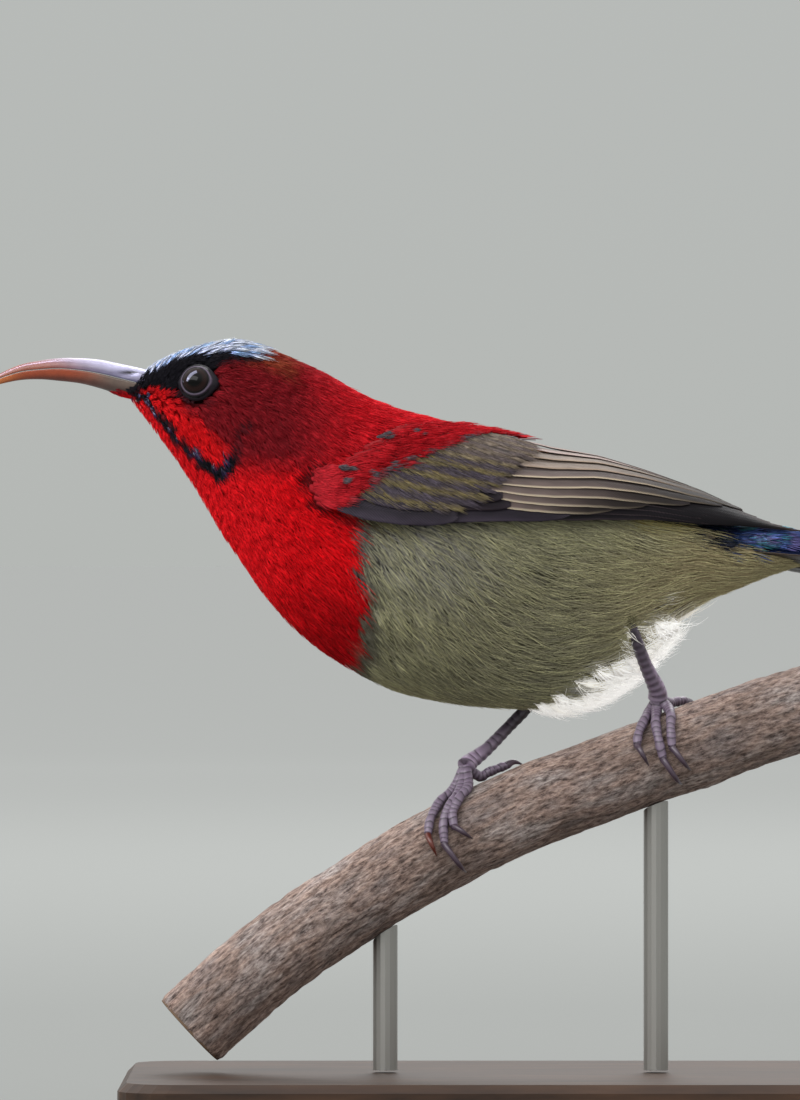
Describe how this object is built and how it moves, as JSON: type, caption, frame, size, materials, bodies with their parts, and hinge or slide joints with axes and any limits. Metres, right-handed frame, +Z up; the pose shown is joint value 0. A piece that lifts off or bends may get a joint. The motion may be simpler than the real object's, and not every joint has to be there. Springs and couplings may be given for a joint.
{
  "type": "crimson sunbird figure on a branch",
  "caption": "Life-size male sunbird with a thin curved bill, folded wings and pointed tail, gripping a cut branch held above a plain flat stand by rods.",
  "frame": {"origin": "centre of the display stand's underside", "axes": "+Z up, -X the way the bird faces, +X towards the tip of its tail, -Y the bird's left side"},
  "size_m": [0.1552, 0.058, 0.0962],
  "materials": {
    "head": "feathers, dark red",
    "neck": "feathers, dark red above and crimson below",
    "torso": "feathers, grey-olive belly and crimson breast",
    "bill_upper": "horn, grey-violet",
    "bill_lower": "horn, orange-brown",
    "eye_left": "wet, dark brown",
    "eye_right": "wet, dark brown",
    "wing_left": "feathers, dark brown with olive edges",
    "wing_right": "feathers, dark brown with olive edges",
    "tail": "feathers, black with blue gloss",
    "leg_left": "scaled skin, dark",
    "leg_right": "scaled skin, dark",
    "foot_left": "scaled skin, purplish grey",
    "foot_right": "scaled skin, purplish grey",
    "perch": "grey-brown bark",
    "stand_base": "dark satin wood",
    "stand_rod_front": "satin steel",
    "stand_rod_rear": "satin steel"
  },
  "bodies": {
    "root": {"head": "head", "neck": "neck", "torso": "torso", "bill_upper": "bill_upper", "bill_lower": "bill_lower", "eye_left": "eye_left", "eye_right": "eye_right", "wing_left": "wing_left", "wing_right": "wing_right", "tail": "tail", "leg_left": "leg_left", "leg_right": "leg_right", "foot_left": "foot_left", "foot_right": "foot_right", "perch": "perch", "stand_base": "stand_base", "stand_rod_front": "stand_rod_front", "stand_rod_rear": "stand_rod_rear"}
  },
  "joints": []
}
